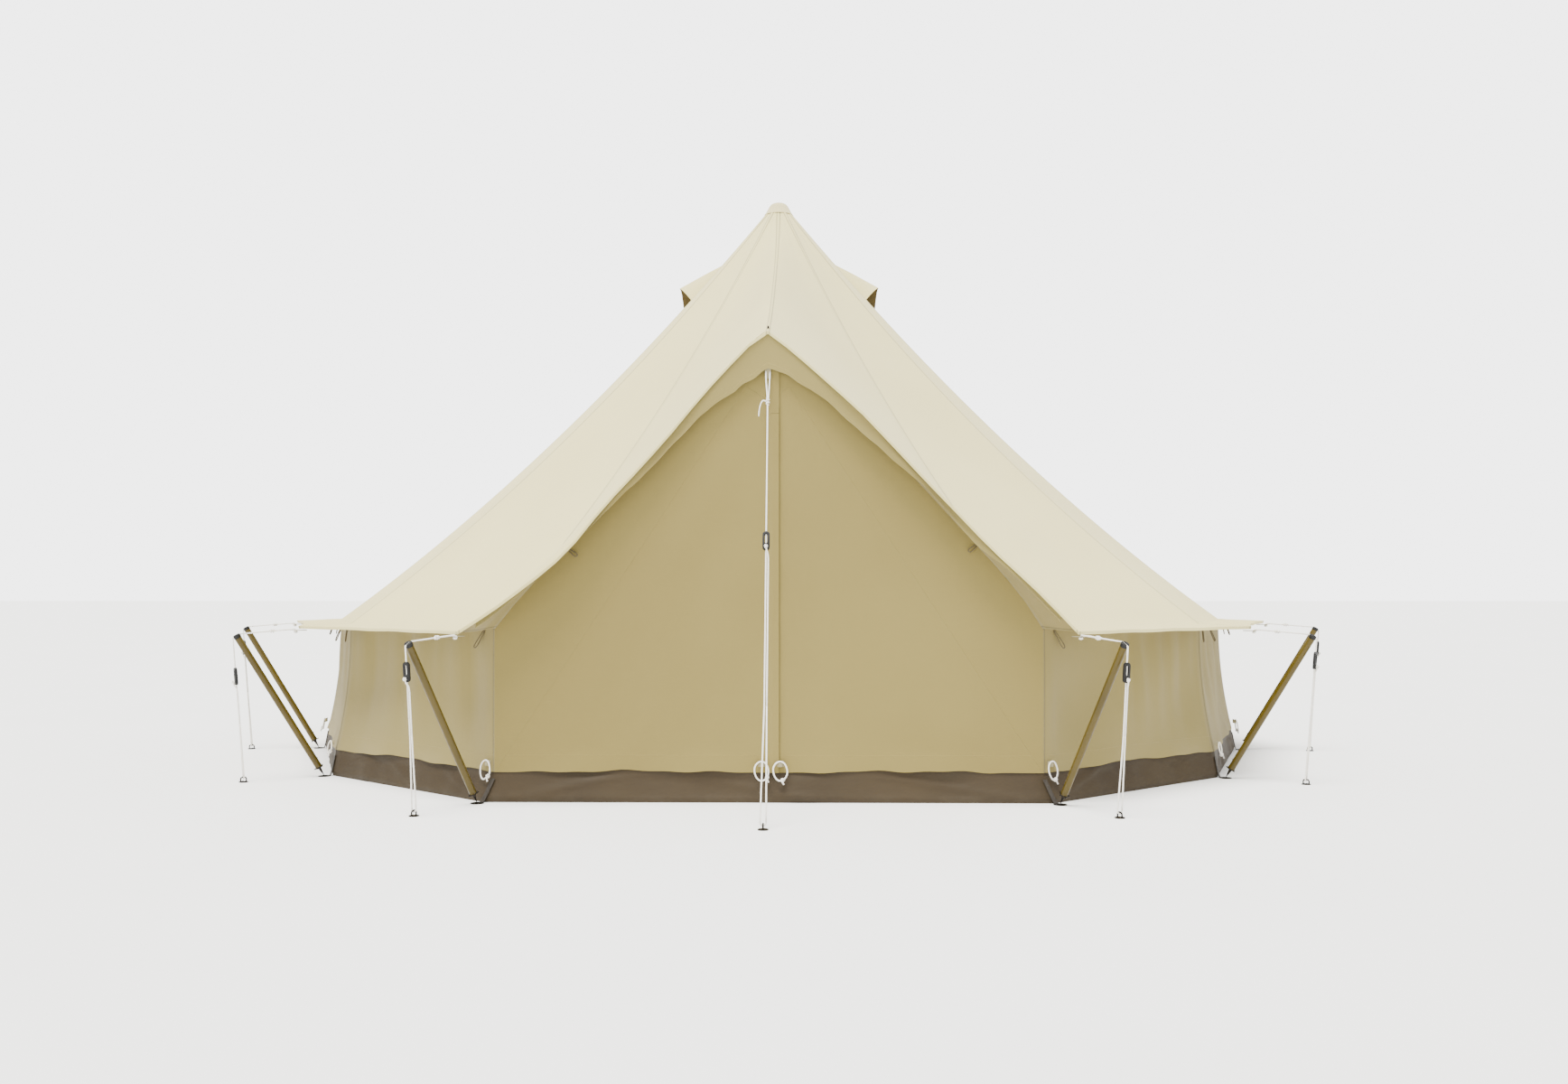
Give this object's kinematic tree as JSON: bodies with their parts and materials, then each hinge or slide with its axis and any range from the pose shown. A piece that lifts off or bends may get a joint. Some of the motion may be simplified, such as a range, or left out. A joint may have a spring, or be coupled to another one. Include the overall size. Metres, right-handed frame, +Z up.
{
  "type": "bell tent",
  "caption": "Conical canvas bell tent with low walls, an A-frame doorway with zipped leaves, roof vents, leaning eave poles and guy lines on deck anchors.",
  "frame": {"origin": "on the ground under the centre pole", "axes": "+Z up along the centre pole, -Y towards the doorway, +X to the right of a person facing the door"},
  "size_m": [5.8264, 5.7059, 3.06],
  "materials": {
    "a_frame_elbow": "galvanised and painted",
    "a_frame_left_foot": "moulded",
    "a_frame_left_leg": "olive lacquer",
    "a_frame_right_foot": "moulded",
    "a_frame_right_leg": "olive lacquer",
    "apex_cap": "stiffened canvas",
    "centre_pole_foot": "moulded",
    "centre_pole_lower": "olive lacquer",
    "centre_pole_upper": "olive lacquer",
    "door_leaf_left": "matt cotton canvas",
    "door_leaf_right": "matt cotton canvas",
    "door_zip": "zip tape and teeth",
    "groundsheet": "coated cloth",
    "guy_line_01": "braided rope",
    "guy_line_02": "braided rope",
    "guy_line_03": "braided rope",
    "guy_line_04": "braided rope",
    "guy_line_05": "braided rope",
    "guy_line_06": "braided rope",
    "guy_line_07": "braided rope",
    "guy_line_08": "braided rope",
    "guy_line_09": "braided rope",
    "guy_line_10": "braided rope",
    "guy_line_11": "braided rope",
    "guy_line_12": "braided rope",
    "guy_line_door": "braided rope",
    "guy_slider_01": "moulded",
    "guy_slider_02": "moulded",
    "guy_slider_03": "moulded",
    "guy_slider_04": "moulded",
    "guy_slider_05": "moulded",
    "guy_slider_06": "moulded",
    "guy_slider_07": "moulded",
    "guy_slider_08": "moulded",
    "guy_slider_09": "moulded",
    "guy_slider_10": "moulded",
    "guy_slider_11": "moulded",
    "guy_slider_12": "moulded",
    "guy_slider_door": "moulded",
    "hood_valance": "matt cotton canvas",
    "roof_canvas": "matt cotton canvas",
    "side_pole_01": "olive lacquer",
    "side_pole_02": "olive lacquer",
    "side_pole_03": "olive lacquer",
    "side_pole_04": "olive lacquer",
    "side_pole_05": "olive lacquer",
    "side_pole_06": "olive lacquer",
    "side_pole_07": "olive lacquer",
    "side_pole_08": "olive lacquer",
    "side_pole_09": "olive lacquer",
    "side_pole_10": "olive lacquer",
    "side_pole_11": "olive lacquer",
    "side_pole_12": "olive lacquer",
    "storm_flap": "matt cotton canvas",
    "vent_hood_left": "matt cotton canvas",
    "vent_hood_rear": "matt cotton canvas",
    "vent_hood_right": "matt cotton canvas",
    "wall_canvas": "matt cotton canvas",
    "zip_pull": "cast"
  },
  "bodies": {
    "tent": {"a_frame_elbow": "a_frame_elbow", "a_frame_left_foot": "a_frame_left_foot", "a_frame_left_leg": "a_frame_left_leg", "a_frame_right_foot": "a_frame_right_foot", "a_frame_right_leg": "a_frame_right_leg", "apex_cap": "apex_cap", "centre_pole_foot": "centre_pole_foot", "centre_pole_lower": "centre_pole_lower", "centre_pole_upper": "centre_pole_upper", "groundsheet": "groundsheet", "guy_line_01": "guy_line_01", "guy_line_02": "guy_line_02", "guy_line_03": "guy_line_03", "guy_line_04": "guy_line_04", "guy_line_05": "guy_line_05", "guy_line_06": "guy_line_06", "guy_line_07": "guy_line_07", "guy_line_08": "guy_line_08", "guy_line_09": "guy_line_09", "guy_line_10": "guy_line_10", "guy_line_11": "guy_line_11", "guy_line_12": "guy_line_12", "guy_line_door": "guy_line_door", "hood_valance": "hood_valance", "roof_canvas": "roof_canvas", "vent_hood_left": "vent_hood_left", "vent_hood_rear": "vent_hood_rear", "vent_hood_right": "vent_hood_right", "wall_canvas": "wall_canvas"},
    "left_leaf": {"door_leaf_left": "door_leaf_left", "door_zip": "door_zip", "storm_flap": "storm_flap"},
    "right_leaf": {"door_leaf_right": "door_leaf_right"},
    "zip_pull": {"zip_pull": "zip_pull"},
    "pole_01": {"side_pole_01": "side_pole_01"},
    "pole_02": {"side_pole_02": "side_pole_02"},
    "pole_03": {"side_pole_03": "side_pole_03"},
    "pole_04": {"side_pole_04": "side_pole_04"},
    "pole_05": {"side_pole_05": "side_pole_05"},
    "pole_06": {"side_pole_06": "side_pole_06"},
    "pole_07": {"side_pole_07": "side_pole_07"},
    "pole_08": {"side_pole_08": "side_pole_08"},
    "pole_09": {"side_pole_09": "side_pole_09"},
    "pole_10": {"side_pole_10": "side_pole_10"},
    "pole_11": {"side_pole_11": "side_pole_11"},
    "pole_12": {"side_pole_12": "side_pole_12"},
    "slider_01": {"guy_slider_01": "guy_slider_01"},
    "slider_02": {"guy_slider_02": "guy_slider_02"},
    "slider_03": {"guy_slider_03": "guy_slider_03"},
    "slider_04": {"guy_slider_04": "guy_slider_04"},
    "slider_05": {"guy_slider_05": "guy_slider_05"},
    "slider_06": {"guy_slider_06": "guy_slider_06"},
    "slider_07": {"guy_slider_07": "guy_slider_07"},
    "slider_08": {"guy_slider_08": "guy_slider_08"},
    "slider_09": {"guy_slider_09": "guy_slider_09"},
    "slider_10": {"guy_slider_10": "guy_slider_10"},
    "slider_11": {"guy_slider_11": "guy_slider_11"},
    "slider_12": {"guy_slider_12": "guy_slider_12"},
    "slider_door": {"guy_slider_door": "guy_slider_door"}
  },
  "joints": [
    {"name": "left_leaf_hinge", "type": "hinge", "parent": "tent", "child": "left_leaf", "pos_m": [-1.116, -2.185, 0.12], "axis": [-0.5465, 0, -0.8374], "range_deg": [0, 90]},
    {"name": "right_leaf_hinge", "type": "hinge", "parent": "tent", "child": "right_leaf", "pos_m": [1.116, -2.185, 0.12], "axis": [-0.5465, 0, 0.8374], "range_deg": [0, 90]},
    {"name": "zip_pull_slide", "type": "slide", "parent": "left_leaf", "child": "zip_pull", "axis": [0, 0, 1], "range_m": [0, 1.4]},
    {"name": "pole_01_lean", "type": "hinge", "parent": "tent", "child": "pole_01", "pos_m": [1.17575, -2.2402, 0.0033], "axis": [0.8855, 0.4647, 0], "range_deg": [-8, 6], "deforming": ["guy_line_01"]},
    {"name": "pole_02_lean", "type": "hinge", "parent": "tent", "child": "pole_02", "pos_m": [2.08215, -1.4372, 0.0033], "axis": [0.5681, 0.823, 0], "range_deg": [-8, 6], "deforming": ["guy_line_02"]},
    {"name": "pole_03_lean", "type": "hinge", "parent": "tent", "child": "pole_03", "pos_m": [2.51155, -0.30496, 0.0033], "axis": [0.1205, 0.9927, 0], "range_deg": [-8, 6], "deforming": ["guy_line_03"]},
    {"name": "pole_04_lean", "type": "hinge", "parent": "tent", "child": "pole_04", "pos_m": [2.36559, 0.89715, 0.0033], "axis": [-0.3546, 0.935, 0], "range_deg": [-8, 6], "deforming": ["guy_line_04"]},
    {"name": "pole_05_lean", "type": "hinge", "parent": "tent", "child": "pole_05", "pos_m": [1.6777, 1.89373, 0.0033], "axis": [-0.7485, 0.6631, 0], "range_deg": [-8, 6], "deforming": ["guy_line_05"]},
    {"name": "pole_06_lean", "type": "hinge", "parent": "tent", "child": "pole_06", "pos_m": [0.60547, 2.45648, 0.0033], "axis": [-0.9709, 0.2393, 0], "range_deg": [-8, 6], "deforming": ["guy_line_06"]},
    {"name": "pole_07_lean", "type": "hinge", "parent": "tent", "child": "pole_07", "pos_m": [-0.60547, 2.45648, 0.0033], "axis": [-0.9709, -0.2393, 0], "range_deg": [-8, 6], "deforming": ["guy_line_07"]},
    {"name": "pole_08_lean", "type": "hinge", "parent": "tent", "child": "pole_08", "pos_m": [-1.6777, 1.89373, 0.0033], "axis": [-0.7485, -0.6631, 0], "range_deg": [-8, 6], "deforming": ["guy_line_08"]},
    {"name": "pole_09_lean", "type": "hinge", "parent": "tent", "child": "pole_09", "pos_m": [-2.36559, 0.89715, 0.0033], "axis": [-0.3546, -0.935, 0], "range_deg": [-8, 6], "deforming": ["guy_line_09"]},
    {"name": "pole_10_lean", "type": "hinge", "parent": "tent", "child": "pole_10", "pos_m": [-2.51155, -0.30496, 0.0033], "axis": [0.1205, -0.9927, 0], "range_deg": [-8, 6], "deforming": ["guy_line_10"]},
    {"name": "pole_11_lean", "type": "hinge", "parent": "tent", "child": "pole_11", "pos_m": [-2.08215, -1.4372, 0.0033], "axis": [0.5681, -0.823, 0], "range_deg": [-8, 6], "deforming": ["guy_line_11"]},
    {"name": "pole_12_lean", "type": "hinge", "parent": "tent", "child": "pole_12", "pos_m": [-1.17575, -2.2402, 0.0033], "axis": [0.8855, -0.4647, 0], "range_deg": [-8, 6], "deforming": ["guy_line_12"]},
    {"name": "slider_01_slide", "type": "slide", "parent": "pole_01", "child": "slider_01", "axis": [-0.0337, 0.0642, -0.9974], "range_m": [-0.03, 0.2], "deforming": ["guy_line_01"]},
    {"name": "slider_02_slide", "type": "slide", "parent": "pole_02", "child": "slider_02", "axis": [-0.0597, 0.0412, -0.9974], "range_m": [-0.03, 0.2], "deforming": ["guy_line_02"]},
    {"name": "slider_03_slide", "type": "slide", "parent": "pole_03", "child": "slider_03", "axis": [-0.072, 0.0087, -0.9974], "range_m": [-0.03, 0.2], "deforming": ["guy_line_03"]},
    {"name": "slider_04_slide", "type": "slide", "parent": "pole_04", "child": "slider_04", "axis": [-0.0678, -0.0257, -0.9974], "range_m": [-0.03, 0.2], "deforming": ["guy_line_04"]},
    {"name": "slider_05_slide", "type": "slide", "parent": "pole_05", "child": "slider_05", "axis": [-0.0481, -0.0543, -0.9974], "range_m": [-0.03, 0.2], "deforming": ["guy_line_05"]},
    {"name": "slider_06_slide", "type": "slide", "parent": "pole_06", "child": "slider_06", "axis": [-0.0174, -0.0704, -0.9974], "range_m": [-0.03, 0.2], "deforming": ["guy_line_06"]},
    {"name": "slider_07_slide", "type": "slide", "parent": "pole_07", "child": "slider_07", "axis": [0.0174, -0.0704, -0.9974], "range_m": [-0.03, 0.2], "deforming": ["guy_line_07"]},
    {"name": "slider_08_slide", "type": "slide", "parent": "pole_08", "child": "slider_08", "axis": [0.0481, -0.0543, -0.9974], "range_m": [-0.03, 0.2], "deforming": ["guy_line_08"]},
    {"name": "slider_09_slide", "type": "slide", "parent": "pole_09", "child": "slider_09", "axis": [0.0678, -0.0257, -0.9974], "range_m": [-0.03, 0.2], "deforming": ["guy_line_09"]},
    {"name": "slider_10_slide", "type": "slide", "parent": "pole_10", "child": "slider_10", "axis": [0.072, 0.0087, -0.9974], "range_m": [-0.03, 0.2], "deforming": ["guy_line_10"]},
    {"name": "slider_11_slide", "type": "slide", "parent": "pole_11", "child": "slider_11", "axis": [0.0597, 0.0412, -0.9974], "range_m": [-0.03, 0.17], "deforming": ["guy_line_11"]},
    {"name": "slider_12_slide", "type": "slide", "parent": "pole_12", "child": "slider_12", "axis": [0.0337, 0.0642, -0.9974], "range_m": [-0.03, 0.2], "deforming": ["guy_line_12"]},
    {"name": "slider_door_slide", "type": "slide", "parent": "tent", "child": "slider_door", "axis": [0, -0.3466, -0.938], "range_m": [-0.45, 0.6], "deforming": ["guy_line_door"]}
  ]
}
